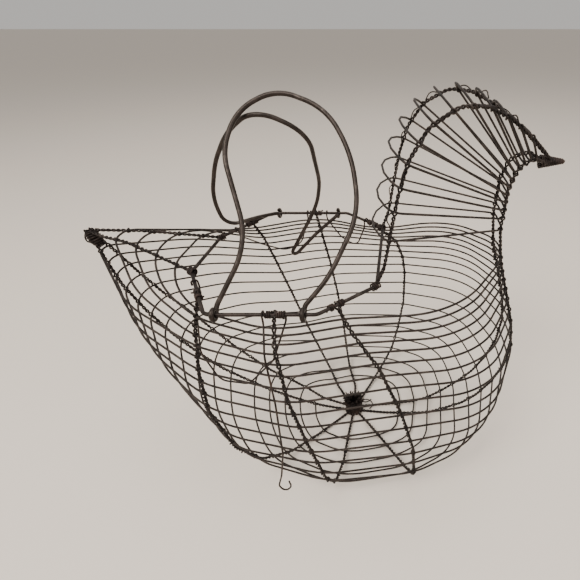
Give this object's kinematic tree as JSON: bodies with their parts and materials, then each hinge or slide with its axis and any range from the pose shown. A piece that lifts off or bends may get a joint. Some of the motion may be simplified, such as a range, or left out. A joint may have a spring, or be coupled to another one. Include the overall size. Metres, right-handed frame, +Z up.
{
  "type": "wire egg basket",
  "caption": "Hen-shaped wire basket: hoops threaded through twisted stays, an open back with a rim, and bail handles hinged on the rim.",
  "frame": {"origin": "middle of the footprint, on the surface that the basket stands on", "axes": "+X towards the head, +Y to the hen's left, +Z up"},
  "size_m": [0.3296, 0.197, 0.2847],
  "materials": {
    "handle_wire": "bare drawn wire, aged dark brown, slight sheen",
    "twisted_wire": "bare drawn wire twisted in pairs, aged dark brown",
    "hoop_wire": "bare drawn wire, aged dark brown",
    "rim_wire": "bare drawn wire, aged dark brown",
    "binding_wire": "bare soft wire, aged dark brown"
  },
  "bodies": {
    "basket": {"beak": "binding_wire", "floor_spiral": "hoop_wire", "hoop_01": "hoop_wire", "hoop_02": "hoop_wire", "hoop_03": "hoop_wire", "hoop_04": "hoop_wire", "hoop_05": "hoop_wire", "hoop_06": "hoop_wire", "hoop_07": "hoop_wire", "hoop_08": "hoop_wire", "hoop_09": "hoop_wire", "hoop_10": "hoop_wire", "hoop_11": "hoop_wire", "hoop_12": "hoop_wire", "hoop_13": "hoop_wire", "hoop_14": "hoop_wire", "hoop_15": "hoop_wire", "hub_binding": "binding_wire", "hub_core": "binding_wire", "neck_hoop_01": "hoop_wire", "neck_hoop_02": "hoop_wire", "neck_hoop_03": "hoop_wire", "neck_hoop_04": "hoop_wire", "neck_hoop_05": "hoop_wire", "neck_hoop_06": "hoop_wire", "neck_hoop_07": "hoop_wire", "neck_hoop_08": "hoop_wire", "neck_hoop_09": "hoop_wire", "neck_hoop_10": "hoop_wire", "neck_hoop_11": "hoop_wire", "neck_hoop_12": "hoop_wire", "rim_ties": "binding_wire", "rim_wire": "rim_wire", "stay_front_left": "twisted_wire", "stay_front_right": "twisted_wire", "stay_left_1": "twisted_wire", "stay_left_2": "twisted_wire", "stay_left_3": "twisted_wire", "stay_nape_left": "twisted_wire", "stay_nape_right": "twisted_wire", "stay_over_tail_left": "twisted_wire", "stay_over_tail_right": "twisted_wire", "stay_right_1": "twisted_wire", "stay_right_2": "twisted_wire", "stay_right_3": "twisted_wire", "stay_under_tail_left": "twisted_wire", "stay_under_tail_right": "twisted_wire", "swag_left_1": "binding_wire", "swag_left_2": "binding_wire", "swag_right_1": "binding_wire", "swag_right_2": "binding_wire", "tail_knot": "binding_wire"},
    "handle_right": {"handle_right": "handle_wire"},
    "handle_left": {"handle_left": "handle_wire"}
  },
  "joints": [
    {"name": "handle_right_hinge", "type": "hinge", "parent": "basket", "child": "handle_right", "pos_m": [-0.02215, -0.06882, 0.1726], "axis": [1, 0, 0], "range_deg": [0, 190]},
    {"name": "handle_left_hinge", "type": "hinge", "parent": "basket", "child": "handle_left", "pos_m": [-0.02215, 0.07918, 0.1726], "axis": [-1, 0, 0], "range_deg": [0, 190]}
  ]
}
